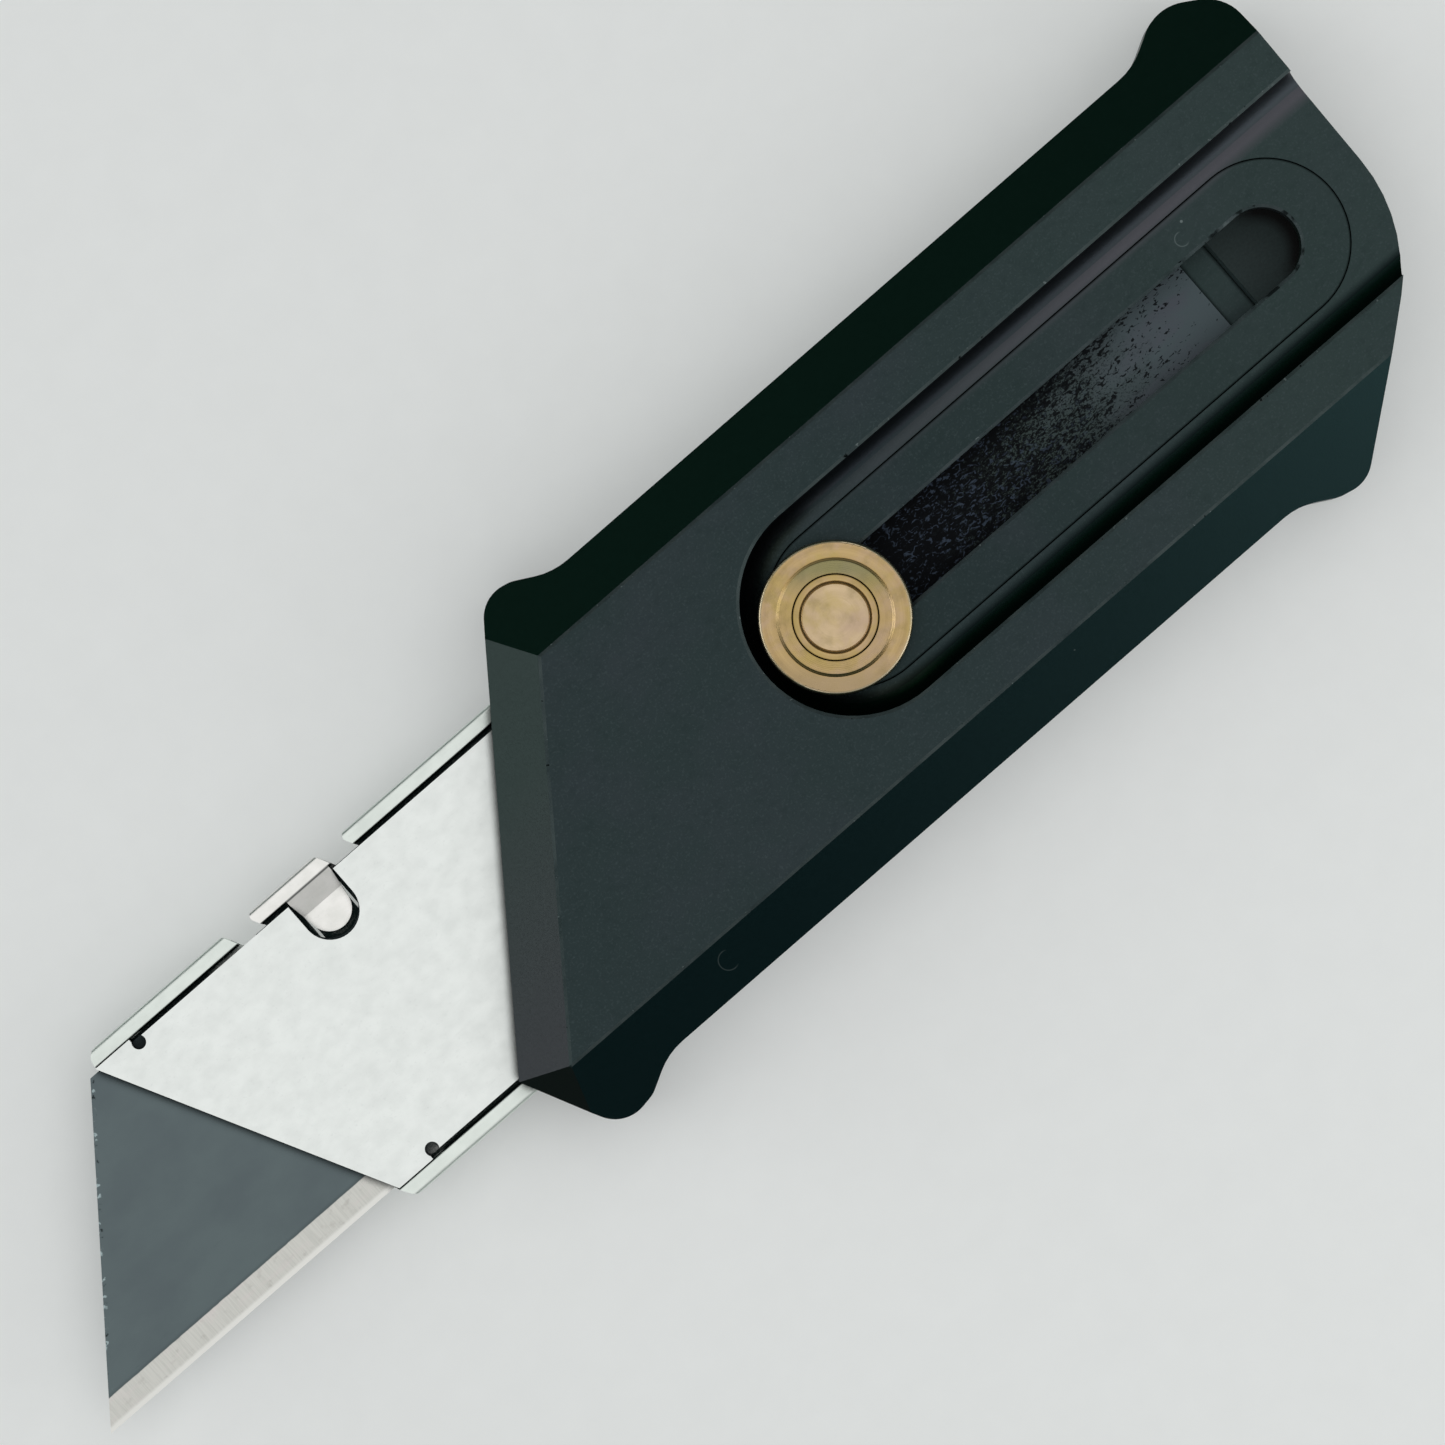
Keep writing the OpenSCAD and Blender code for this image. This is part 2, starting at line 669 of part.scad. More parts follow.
// Spacer behind the blade, whose front edge lies along the blade's slanted rear end
module blade_spacer() {
    back_off = 0.3;
    low_x = blade_tip + blade_len + back_off;
    color("#a9adae") difference() {
        translate([0, 0, bed_z]) linear_extrude(bed_t) intersection() {
            polygon([
                [low_x, -blade_w / 2], [carrier_rear, -blade_w / 2], [carrier_rear, plate_y],
                [low_x - (plate_y + blade_w / 2) / tan(blade_angle), plate_y]
            ]);
            tail_plan(nose_x, carrier_rear, carrier_y);
        }
        translate([button_x, 0, bed_z - OVER]) cylinder(r = clip_hole_r, h = bed_t + 2 * OVER);
        rivet_holes();
        spring_rivet_holes();
    }
}

// Countersunk rivet through the carrier's three sheets, flush on both sides
module rivet(gap) {
    h = plate_top - carrier_z;
    r = rivet_d / 2 + gap;
    flare = 0.4;
    translate([0, 0, carrier_z]) {
        cylinder(r = r, h = h);
        cylinder(r1 = r + flare, r2 = r, h = flare);
        translate([0, 0, h - flare]) cylinder(r1 = r, r2 = r + flare, h = flare);
    }
}

module rivet_holes() { for (p = RIVETS) translate([p[0], p[1], 0]) rivet(pin_gap); }

module carrier_rivets() { color("#b4b7b8") for (p = RIVETS) translate([p[0], p[1], 0]) rivet(0); }

// ---- Slider block and lock spring ----

spring_rivet_r = 0.6;
spring_rivet_head_r = 0.95;
leaf_t = 0.3;
land_z = plate_top + 0.45;
leaf_z = hub_z - leaf_t - 0.03;
bay_front = button_x - 5.2;
bay_rear = button_x + 3.3;
bay_wall = 0.5;

module spring_rivet_holes() {
    for (p = SPRING_RIVETS) translate([p[0], p[1], carrier_z - OVER])
        cylinder(r = spring_rivet_r + pin_gap, h = slider_top - carrier_z + 2 * OVER);
}

module slider_block() {
    rear = carrier_rear - 0.3;
    color("#3c4043") difference() {
        translate([rear - slider_len, -slider_w / 2, plate_top]) cube([slider_len, slider_w, slider_h]);
        // bay for the hub and the spring's free end
        translate([bay_front, -slider_w / 2 + bay_wall, plate_top - OVER])
            cube([bay_rear - bay_front, slider_w - 2 * bay_wall, slider_h + 2 * OVER]);
        // step that the spring is riveted to
        translate([rear - slider_len - OVER, -slider_w / 2 + bay_wall, land_z])
            cube([bay_front - rear + slider_len + 2 * OVER, slider_w - 2 * bay_wall, slider_h]);
        spring_rivet_holes();
    }
}

// Leaf spring that holds the button up; its two ears stand in the notches of the insert's keel
module lock_spring() {
    half_w = 2.7;
    ear_out = 3.3;
    ear_l = 1.4;
    root_x = button_x - 8.3;
    low_x = button_x - 5.6;
    high_x = button_x - 3.6;
    end_x = button_x + 2.8;
    crank = leaf_t / 3;
    color("#b9bcc0") difference() {
        union() {
            translate([0, half_w, 0]) rotate([90, 0, 0]) linear_extrude(2 * half_w) polygon([
                [root_x, land_z], [low_x, land_z], [high_x, leaf_z], [end_x, leaf_z],
                [end_x, leaf_z + leaf_t], [high_x - crank, leaf_z + leaf_t],
                [low_x - crank, land_z + leaf_t], [root_x, land_z + leaf_t]
            ]);
            translate([button_x - ear_l / 2, -ear_out, leaf_z]) cube([ear_l, 2 * ear_out, leaf_t]);
            for (side = [-1, 1])
                translate([button_x - ear_l / 2, side * (ear_out - leaf_t / 2) - leaf_t / 2, leaf_z])
                    cube([ear_l, leaf_t, flange_z - 0.2 - leaf_z]);
        }
        translate([button_x, 0, leaf_z - OVER]) cylinder(r = post_r + 0.25, h = leaf_t + 2 * OVER);
        spring_rivet_holes();
    }
}

module spring_rivets() {
    color("#b4b7b8") for (p = SPRING_RIVETS) translate([p[0], p[1], carrier_z]) {
        cylinder(r = spring_rivet_r, h = land_z + leaf_t - carrier_z + EPS);
        translate([0, 0, land_z + leaf_t - carrier_z])
            cylinder(r = spring_rivet_head_r, h = slider_top - land_z - leaf_t - 0.05);
    }
}

// ---- Thumb button ----

// Half section of the button, turned from brass: rim, dished ring, inner ring, seat and hub
module button_section() {
    edge = 0.3;
    line = 0.05;
    step_w = 0.22;
    step_h = 0.14;
    rim_r = button_d / 2;
    ring_r = ring_d / 2;
    dish_r = dish_d / 2;
    difference() {
        union() {
            translate([0, button_z]) square([rim_r - edge, button_t]);
            translate([0, button_z + edge]) square([rim_r, button_t - 2 * edge]);
            for (y = [button_z + edge, button_top - edge])
                translate([rim_r - edge, y]) circle(edge, $fn = 24);
            translate([0, hub_z]) square([hub_r, button_z - hub_z + EPS]);
        }
        // dished ring, the line turned at its inner side, and the inner ring
        polygon([
            [seat_r - line, ring_z - line], [seat_r, ring_z - line], [seat_r + line, ring_z],
            [ring_r - line, ring_z], [ring_r, ring_z - 3 * line], [ring_r + line, button_top - dish_depth],
            [dish_r - step_w, button_top - step_h], [dish_r, button_top],
            [dish_r, button_top + OVER], [seat_r - line, button_top + OVER]
        ]);
        translate([0, seat_z]) square([seat_r, BIG]);
        translate([0, hub_z - OVER]) square([post_r + pin_gap, BIG]);
    }
}

module thumb_button() {
    color("#b08d4c") translate([button_x, 0, 0]) rotate_extrude() button_section();
}

module button_post() {
    bottom = clip_z - 0.15;
    head_top = ring_z + 0.04;
    bevel = 0.08;
    color("#bd9b5a") translate([button_x, 0, 0]) rotate_extrude() difference() {
        union() {
            translate([0, bottom]) square([post_r, seat_z - bottom + EPS]);
            polygon([
                [0, seat_z], [head_d / 2, seat_z], [head_d / 2, head_top - bevel],
                [head_d / 2 - bevel, head_top], [0, head_top]
            ]);
        }
        translate([clip_r0, clip_z - pin_gap]) square([post_r, clip_t + 2 * pin_gap]);
    }
}

// Retaining clip in the post's groove, under the top plate
module post_clip() {
    clip_mouth = 1.6;
    color("#8f9396") translate([button_x, 0, clip_z]) difference() {
        cylinder(r = clip_r, h = clip_t);
        translate([0, 0, -OVER]) cylinder(r = clip_r0 + pin_gap, h = clip_t + 2 * OVER);
        translate([0, -clip_mouth / 2, -OVER]) cube([clip_r + OVER, clip_mouth, clip_t + 2 * OVER]);
    }
}

// ---- Blade ----

// Trapezoid blade, ground from both faces to its edge, with two notches in the spine
module blade() {
    y0 = -blade_w / 2;
    z0 = bed_z + blade_gap;
    edge_flat = 0.03;
    color("#6d7476") intersection() {
        translate([blade_tip - OVER, 0, z0]) rotate([90, 0, 90])
            linear_extrude(blade_len + 2 * OVER) polygon([
                [y0, (blade_t - edge_flat) / 2], [y0 + bevel_w, 0], [-y0, 0],
                [-y0, blade_t], [y0 + bevel_w, blade_t], [y0, (blade_t + edge_flat) / 2]
            ]);
        translate([0, 0, z0 - OVER]) linear_extrude(blade_t + 2 * OVER) difference() {
            polygon([
                [blade_tip, y0], [blade_tip + blade_len, y0],
                [blade_tip + blade_len - blade_slope, -y0], [blade_tip + blade_slope, -y0]
            ]);
            for (x = [blade_mid - notch_pitch / 2, blade_mid + notch_pitch / 2])
                translate([x, -y0 - notch_depth + notch_w / 2]) {
                    circle(notch_w / 2);
                    translate([-notch_w / 2, 0]) square([notch_w, notch_depth]);
                }
        }
    }
}

front_shell();
back_cover();
slot_insert();
wear_strip();
rear_pad();
cover_screws();
dowel_pins();
carrier_channel();
carrier_plate();
blade_latch();
blade_spacer();
carrier_rivets();
slider_block();
lock_spring();
spring_rivets();
thumb_button();
button_post();
post_clip();
blade();
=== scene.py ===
"""Looks for the pocket utility knife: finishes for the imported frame's pieces, in a small photo studio.

Everything is in metres, in the part's own frame: +X to the tail, +Y to the spine, +Z out of the channel.
"""
import math

import bpy
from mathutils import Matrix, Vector


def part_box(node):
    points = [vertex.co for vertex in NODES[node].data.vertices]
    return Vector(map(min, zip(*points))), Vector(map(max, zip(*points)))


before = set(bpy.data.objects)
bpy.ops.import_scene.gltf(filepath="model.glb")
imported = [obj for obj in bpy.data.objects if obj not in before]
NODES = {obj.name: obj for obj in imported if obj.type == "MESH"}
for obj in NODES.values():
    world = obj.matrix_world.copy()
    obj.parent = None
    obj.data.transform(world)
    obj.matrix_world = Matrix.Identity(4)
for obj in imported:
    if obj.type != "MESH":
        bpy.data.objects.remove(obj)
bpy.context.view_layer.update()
MM = 0.001
LEAN = math.radians(41.0)


# ---- Camera ----

def aim_camera():
    """Straight down on the knife, which lies across the picture from lower left to upper right."""
    lens, sensor = 250.0, 36.0
    view_width = 97.0 * MM
    middle_x, middle_y, level = -15.6 * MM, -0.35 * MM, 7.0 * MM
    data = bpy.data.cameras.new("camera")
    data.lens, data.sensor_width = lens, sensor
    data.clip_start, data.clip_end = 0.01, 20.0
    camera = bpy.data.objects.new("camera", data)
    camera.location = (middle_x, middle_y, level + view_width * lens / sensor)
    camera.rotation_euler = (0, 0, -LEAN)
    bpy.context.scene.collection.objects.link(camera)
    bpy.context.scene.camera = camera


# ---- Colours and patterns ----

def tint(code):
    """An sRGB hex colour as linear values."""
    parts = [int(code[i:i + 2], 16) / 255 for i in (1, 3, 5)]
    linear = [c / 12.92 if c <= 0.04045 else ((c + 0.055) / 1.055) ** 2.4 for c in parts]
    return (*linear, 1.0)


def add(tree, kind, inputs=None, output=0, **settings):
    """Adds a shader node. inputs maps its input names or numbers to sockets or values; returns an output."""
    node = tree.nodes.new("ShaderNode" + kind)
    for name, value in settings.items():
        setattr(node, name, value)
    for key, value in (inputs or {}).items():
        socket = node.inputs[key]
        if isinstance(value, bpy.types.NodeSocket):
            tree.links.new(value, socket)
        else:
            socket.default_value = value
    return node.outputs[output]


def material(name, **shader):
    """A new Principled material with plain values on its shader; returns material, tree and shader."""
    made = bpy.data.materials.new(name)
    made.use_nodes = True
    tree = made.node_tree
    principled = tree.nodes["Principled BSDF"]
    for key, value in shader.items():
        principled.inputs[key.replace("_", " ")].default_value = value
    return made, tree, principled


def finish_with(tree, shader, **sockets):
    """Links each named shader input to its socket."""
    for key, value in sockets.items():
        tree.links.new(value, shader.inputs[key.replace("_", " ")])


def grains(tree, size_mm, detail=3.0, turn=0.0, curl=0.0):
    """Noise from 0 to 1 whose grains have this size along each axis, turned about +Z and curled."""
    where = add(tree, "TexCoord", output="Object")
    scaled = add(tree, "Mapping", {
        "Vector": where, "Rotation": (0, 0, turn), "Scale": [1 / (MM * size) for size in size_mm]})
    return add(tree, "TexNoise", {
        "Vector": scaled, "Scale": 1.0, "Detail": detail, "Roughness": 0.55, "Distortion": curl})


def where_all(tree, ranges, most=1.0):
    """How far all ranges hold, from 0 to most. Each is (value, low, high), holding fully at high."""
    amount = most
    for value, low, high in ranges:
        held = add(tree, "MapRange", {"Value": value, "From Min": low, "From Max": high})
        amount = add(tree, "Math", {0: amount, 1: held}, operation="MULTIPLY")
    return amount


def coated(tree, under, colour, *ranges, most=1.0):
    """The colour under, coated with another (a hex code or a socket) where all ranges hold.

    A Mix node's colours are its inputs 6 and 7 and its output 2.
    """
    coat = tint(colour) if isinstance(colour, str) else colour
    amount = where_all(tree, ranges, most)
    return add(tree, "Mix", {0: amount, 6: under, 7: coat}, 2, data_type="RGBA")


def hollow_grime_and_shade(tree, under, reach_mm, colour, least=0.35, most=0.8):
    """The colour under, darkened in slits and corners narrower than reach_mm by ambient occlusion: a painted
    shade, with grime gathered there.
    """
    open_sky = add(tree, "AmbientOcclusion", {"Distance": reach_mm * MM}, "AO", samples=8)
    return coated(tree, under, colour, (open_sky, most, least))


def dented(tree, *dents):
    """Normals of a surface with dents one over another, each (height from 0 to 1, depth in mm)."""
    normal = add(tree, "NewGeometry", output="Normal")
    for height, depth_mm in dents:
        normal = add(tree, "Bump", {"Height": height, "Distance": depth_mm * MM, "Normal": normal})
    return normal


def place(tree, axis):
    """Place along X, Y or Z in metres."""
    return add(tree, "SeparateXYZ", {0: add(tree, "TexCoord", output="Object")}, axis)


def facing(tree, axis):
    """How far the flat surface itself looks along X, Y or Z, from -1 to 1."""
    return add(tree, "SeparateXYZ", {0: add(tree, "NewGeometry", output="True Normal")}, axis)


def out_from(tree, front, rear, side=0.0):
    """Distance in plan from a line along X, between front and rear, that lies at side along Y."""
    where = add(tree, "TexCoord", output="Object")
    nearest = add(tree, "VectorMath", {0: where, 1: (front, side, 0)}, operation="MAXIMUM")
    nearest = add(tree, "VectorMath", {0: nearest, 1: (rear, side, 0)}, operation="MINIMUM")
    out = add(tree, "VectorMath", {0: where, 1: nearest}, operation="SUBTRACT")
    flat = add(tree, "VectorMath", {0: out, 1: (1, 1, 0)}, operation="MULTIPLY")
    return add(tree, "VectorMath", {0: flat}, "Value", operation="LENGTH")


# ---- Finishes ----

def painted_flank_light_and_shade(tree, tone, along, across, up):
    """The colour tone, with painted shade and reflections on steep faces: greener on the spine side, bluer
    on the edge side.

    Towards the tail the edge side is plainer, the nose is purple, and its heel is the darkest. The
    channel's wall that faces the edge side is painted lit, lighter towards the tail.
    """
    ahead, side = facing(tree, "X"), facing(tree, "Y")
    to_tail = (along, -22 * MM, 42 * MM)
    steep = [(up, 0.93, 0.8), (up, -0.2, -0.1)]
    front = [*steep, (along, -10 * MM, -14 * MM)]
    spine_side, edge_side = (side, 0, 0.1), (side, 0, -0.1)
    # Painted shade and reflection: steep faces darkened and tinted by the way they face.
    edge_flank = coated(tree, tint("#13282a"), "#273a3b", to_tail)
    tone = coated(tree, tone, edge_flank, *steep, edge_side)
    tone = coated(tree, tone, "#163229", *steep, spine_side)
    tone = coated(tree, tone, "#03120f", *front, edge_side, (ahead, -0.2, -0.3))
    nose = coated(tree, tint("#2d3534"), "#343538", (across, 6 * MM, -9 * MM))
    tone = coated(tree, tone, nose, *front, spine_side, (ahead, -0.35, -0.45))
    # Painted light: the channel's wall that faces the edge side is lit, lighter towards the tail.
    channel_wall = coated(tree, tint("#2c3239"), "#41464b", to_tail)
    return coated(tree, tone, channel_wall, *steep, edge_side, (across, -0.1 * MM, 0.1 * MM))


def worn_and_highlit_edges(tree, tone, edge, bevels, slot_end):
    """The colour tone, turned to the colour edge on narrow bevels, rubbed and with a painted highlight,
    and chipped dark and pale.

    Where slot_end holds as well, the bevels are torn in longer stretches.
    """
    rubbed = grains(tree, (2, 2, 2), detail=6)
    chip = grains(tree, (0.5, 0.5, 0.5), detail=5)
    torn = grains(tree, (1.6, 1.6, 1.6), detail=6)
    # Painted highlight together with rubbed metal: the bevels take the lighter colour edge.
    tone = coated(tree, tone, edge, *bevels, (rubbed, 0.3, 0.62), most=0.85)
    tone = coated(tree, tone, "#070b0b", *bevels, (chip, 0.66, 0.7))
    tone = coated(tree, tone, "#6f7a7a", *bevels, (chip, 0.34, 0.3), most=0.7)
    tone = coated(tree, tone, "#070b0b", *bevels, *slot_end, (torn, 0.54, 0.6), most=0.8)
    return coated(tree, tone, "#5d6868", *bevels, *slot_end, (torn, 0.4, 0.34), most=0.5)


def scratched(tree, tone, along, scratches_mm):
    """The colour tone, with small curled scratches, each (x, y, radius) and open to the tail."""
    half_width_mm = 0.06
    for x, y, radius in scratches_mm:
        out = out_from(tree, x * MM, x * MM, y * MM)
        inner, outer = (radius - half_width_mm) * MM, (radius + half_width_mm) * MM
        curl = [(out, inner, radius * MM), (out, outer, radius * MM)]
        tone = coated(tree, tone, "#5f6b6b", *curl, (along, (x + 0.5 * radius) * MM, x * MM), most=0.6)
    return tone


def dusted(tree, tone, every_mm):
    """The colour tone, with a pale speck of dust about every so many mm."""
    cell = add(tree, "Mapping", {
        "Vector": add(tree, "TexCoord", output="Object"), "Scale": [1 / (MM * every_mm)] * 3})
    speck = add(tree, "TexVoronoi", {"Vector": cell, "Scale": 1.0}, "Distance")
    return coated(tree, tone, "#7d8888", (speck, 0.016, 0.01), most=0.5)


def anodised(name, colour, edge, roughness, edge_level, insert, scratches_mm):
    """Bead-blasted aluminium, anodised black.

    The dyed oxide over the metal gives a satin sheen that mirrors broad light softly, and the blasting
    leaves a fine even grain, drawn 0.16 mm wide, coarser than it is, so that it shows. Steep faces are
    painted darker and tinted by the way they face, painted shade and reflection. The channel's floor,
    level with the insert, is painted lighter along the spine side, where its wall faces the light, and
    darker along the edge side, painted light and shade. The narrow edge bevels above edge_level are
    lighter, rubbed and with a painted highlight, and chipped, most of all round the slot's rear end.
    The joint round the insert and the hollows are painted dark, a painted shade.
    """
    made, tree, shader = material(name, Metallic=1.0, Roughness=roughness)
    along, across, height = place(tree, "X"), place(tree, "Y"), place(tree, "Z")
    up = facing(tree, "Z")
    grain = grains(tree, (0.16, 0.16, 0.16))
    blotch = grains(tree, (0.7, 0.5, 0.6), detail=5)
    cloud = grains(tree, (9, 9, 9))
    tone = coated(tree, tint(colour), "#383c43", (cloud, 0.45, 0.75), most=0.4)
    tone = coated(tree, tone, "#34413f", (along, 5 * MM, 30 * MM), most=0.5)
    tone = coated(tree, tone, "#4a5658", (grain, 0.52, 0.78), most=0.4)
    tone = coated(tree, tone, "#1c2727", (blotch, 0.5, 0.75), most=0.22)

    insert_low, insert_high = insert
    floor_level = insert_high[2]
    insert_r = (insert_high[1] - insert_low[1]) / 2
    from_middle = out_from(tree, insert_low[0] + insert_r, insert_high[0] - insert_r)
    by_floor = [(height, floor_level - 0.3 * MM, floor_level - 0.1 * MM),
                (height, floor_level + 0.9 * MM, floor_level + 0.5 * MM)]
    floor = [*by_floor, (up, 0.72, 0.93)]
    # Painted light: the spine side of the channel's floor and wall, which faces the light, is lighter.
    tone = coated(tree, tone, "#4b4c51", *floor, (across, 5.2 * MM, 6.0 * MM), (along, -5 * MM, 25 * MM))
    # Painted shade: the edge side of the channel's floor and wall is darker.
    tone = coated(tree, tone, "#162122", *floor, (across, -5.9 * MM, -6.5 * MM), most=0.9)

    tone = painted_flank_light_and_shade(tree, tone, along, across, up)
    bevels = [(up, 0.985, 0.97), (up, 0.88, 0.9), (height, edge_level - 0.01 * MM, edge_level + 0.01 * MM)]
    slot_end = [(from_middle, 3.6 * MM, 3.2 * MM), (along, 26 * MM, 30 * MM)]
    tone = worn_and_highlit_edges(tree, tone, edge, bevels, slot_end)
    tone = scratched(tree, tone, along, scratches_mm)
    tone = dusted(tree, tone, every_mm=7.5)
    insert_joint = [(from_middle, insert_r - 0.12 * MM, insert_r - 0.02 * MM),
                    (from_middle, insert_r + 0.12 * MM, insert_r + 0.02 * MM)]
    # Painted shade: a dark line along the gap round the insert.
    tone = coated(tree, tone, "#050909", *insert_joint, *by_floor, most=0.7)
    # Painted shade from ambient occlusion in the slot, the joints and other hollows.
    tone = hollow_grime_and_shade(tree, tone, 0.45, "#050909", least=0.45, most=0.88)
    rough = add(tree, "MapRange", {
        "Value": grain, "From Min": 0.3, "From Max": 0.7,
        "To Min": roughness - 0.04, "To Max": roughness + 0.05})
    finish_with(tree, shader, Base_Color=tone, Roughness=rough,
                Normal=dented(tree, (blotch, 0.001), (grain, 0.005)))
    return made


def stainless(name, colour, dull, roughness, fold_y=None):
    """Tumbled stainless steel: almost white and softly blurred, with fine criss-cross rub marks.

    Its slits are painted dark, a painted shade, and so is a fold along X where fold_y is given, a painted
    shadow.
    """
    made, tree, shader = material(name, Metallic=1.0, Roughness=roughness)
    cloud = grains(tree, (1.2, 0.9, 1.0), detail=6)
    fine = grains(tree, (0.25, 0.2, 0.25), detail=4)
    rub_right = grains(tree, (1.6, 0.06, 0.3), detail=2, turn=0.5)
    rub_left = grains(tree, (1.2, 0.06, 0.3), detail=2, turn=-0.9)
    tone = coated(tree, tint(colour), dull, (cloud, 0.35, 0.7))
    tone = coated(tree, tone, "#cfd3d1", (fine, 0.6, 0.76), most=0.3)
    tone = coated(tree, tone, "#a9adac", (rub_right, 0.7, 0.8), most=0.16)
    tone = coated(tree, tone, "#a9adac", (rub_left, 0.7, 0.8), most=0.16)
    # Painted shade from ambient occlusion in the slits.
    tone = hollow_grime_and_shade(tree, tone, 1.0, "#0e1615", least=0.55, most=0.85)
    # Painted shadow: a dark line along the fold at fold_y.
    if fold_y is not None:
        across = place(tree, "Y")
        tone = coated(tree, tone, "#2c3332", (across, fold_y - 0.12 * MM, fold_y - 0.04 * MM),
                      (across, fold_y + 0.1 * MM, fold_y + 0.02 * MM), most=0.85)
    rough = add(tree, "MapRange", {
        "Value": cloud, "From Min": 0.3, "From Max": 0.7,
        "To Min": roughness - 0.02, "To Max": roughness + 0.03})
    finish_with(tree, shader, Base_Color=tone, Roughness=rough,
                Normal=dented(tree, (rub_right, 0.001), (rub_left, 0.001), (fine, 0.002)))
    return made


def turned_brass(name, centre, colour, dull):
    """Fine-turned brass, dulled by handling: tool marks run round the axis and stretch its highlights.

    The marks are drawn 0.12 mm apart, coarser than they are, so that they show. The brass is pink and
    olive in blotches and brown in the joint round its centre. The dish is painted greenish towards the
    picture's top, a painted reflection; the step is painted brown towards the picture's top and bottom
    and lighter towards its bottom, painted reflections; and the outer rim's edge is pale, rubbed and with
    a painted highlight.
    """
    made, tree, shader = material(name, Metallic=1.0, Roughness=0.32, Anisotropic=0.6)
    mark_mm, band_mm = 0.12, 0.35
    where = add(tree, "TexCoord", output="Object")
    out = add(tree, "VectorMath", {0: where, 1: centre}, operation="SUBTRACT")
    flat = add(tree, "VectorMath", {0: out, 1: (1, 1, 0)}, operation="MULTIPLY")
    radius = add(tree, "VectorMath", {0: flat}, "Value", operation="LENGTH")
    around = add(tree, "VectorMath", {0: (0, 0, 1), 1: flat}, operation="CROSS_PRODUCT")
    tangent = add(tree, "VectorMath", {0: around}, operation="NORMALIZE")
    picture_up = (math.sin(LEAN), math.cos(LEAN), 0)
    toward_picture_top = add(tree, "VectorMath", {0: flat, 1: picture_up}, "Value", operation="DOT_PRODUCT")
    off_line = add(tree, "Math", {0: toward_picture_top}, operation="ABSOLUTE")
    turns = add(tree, "Math", {0: radius, 1: 2 * math.pi / (mark_mm * MM)}, operation="MULTIPLY")
    marks = add(tree, "Math", {0: turns}, operation="SINE")
    ring = add(tree, "Math", {0: radius, 1: 1 / (band_mm * MM)}, operation="MULTIPLY")
    bands = add(tree, "TexNoise", {"W": ring, "Scale": 1.0, "Detail": 3.0}, noise_dimensions="1D")
    pink = grains(tree, (2.4, 1.6, 2), detail=5)
    olive = grains(tree, (2, 2.6, 2), detail=4, turn=1.0)
    tarnish = grains(tree, (1.2, 1.2, 1.2), detail=6)
    tone = coated(tree, tint(colour), dull, (bands, 0.35, 0.7), most=0.5)
    tone = coated(tree, tone, "#bda38c", (pink, 0.46, 0.66), most=0.65)
    tone = coated(tree, tone, "#b39e58", (olive, 0.5, 0.66), most=0.5)
    tone = coated(tree, tone, "#8f7f56", (tarnish, 0.52, 0.72), most=0.35)
    dish = [(radius, 2.85 * MM, 3.0 * MM), (radius, 4.0 * MM, 3.9 * MM)]
    # Painted reflection: the dish is greenish and darker towards the picture's top.
    tone = coated(tree, tone, "#84835e", *dish, (toward_picture_top, 1.2 * MM, 3.2 * MM), most=0.8)
    joint = [(radius, 2.76 * MM, 2.84 * MM), (radius, 2.98 * MM, 2.92 * MM)]
    tone = coated(tree, tone, "#8a7442", *joint)
    step = [(radius, 3.78 * MM, 3.86 * MM), (radius, 4.08 * MM, 4.0 * MM)]
    # Painted reflection: the step is brown towards the picture's top and bottom.
    tone = coated(tree, tone, "#a3824c", *step, (off_line, 0.8 * MM, 2.2 * MM), most=0.5)
    toward_picture_bottom = (toward_picture_top, -2.5 * MM, -4.2 * MM)
    # Painted light: the step is lighter towards the picture's bottom.
    tone = coated(tree, tone, "#a48f6d", (radius, 3.95 * MM, 4.1 * MM), toward_picture_bottom, most=0.8)
    # Pale patches on the outer rim's edge: rubbed brass and a painted highlight.
    tone = coated(tree, tone, "#e0d3b6", (radius, 4.95 * MM, 5.08 * MM), (pink, 0.3, 0.5), most=0.8)
    # Brown in grooves and corners: grime, with painted shade from ambient occlusion.
    tone = hollow_grime_and_shade(tree, tone, 0.25, "#4a3a1c", least=0.3, most=0.75)
    rough = add(tree, "MapRange", {
        "Value": tarnish, "From Min": 0.3, "From Max": 0.7, "To Min": 0.3, "To Max": 0.4})
    finish_with(tree, shader, Base_Color=tone, Roughness=rough, Tangent=tangent,
                Normal=dented(tree, (bands, 0.003), (marks, 0.0012)))
    return made


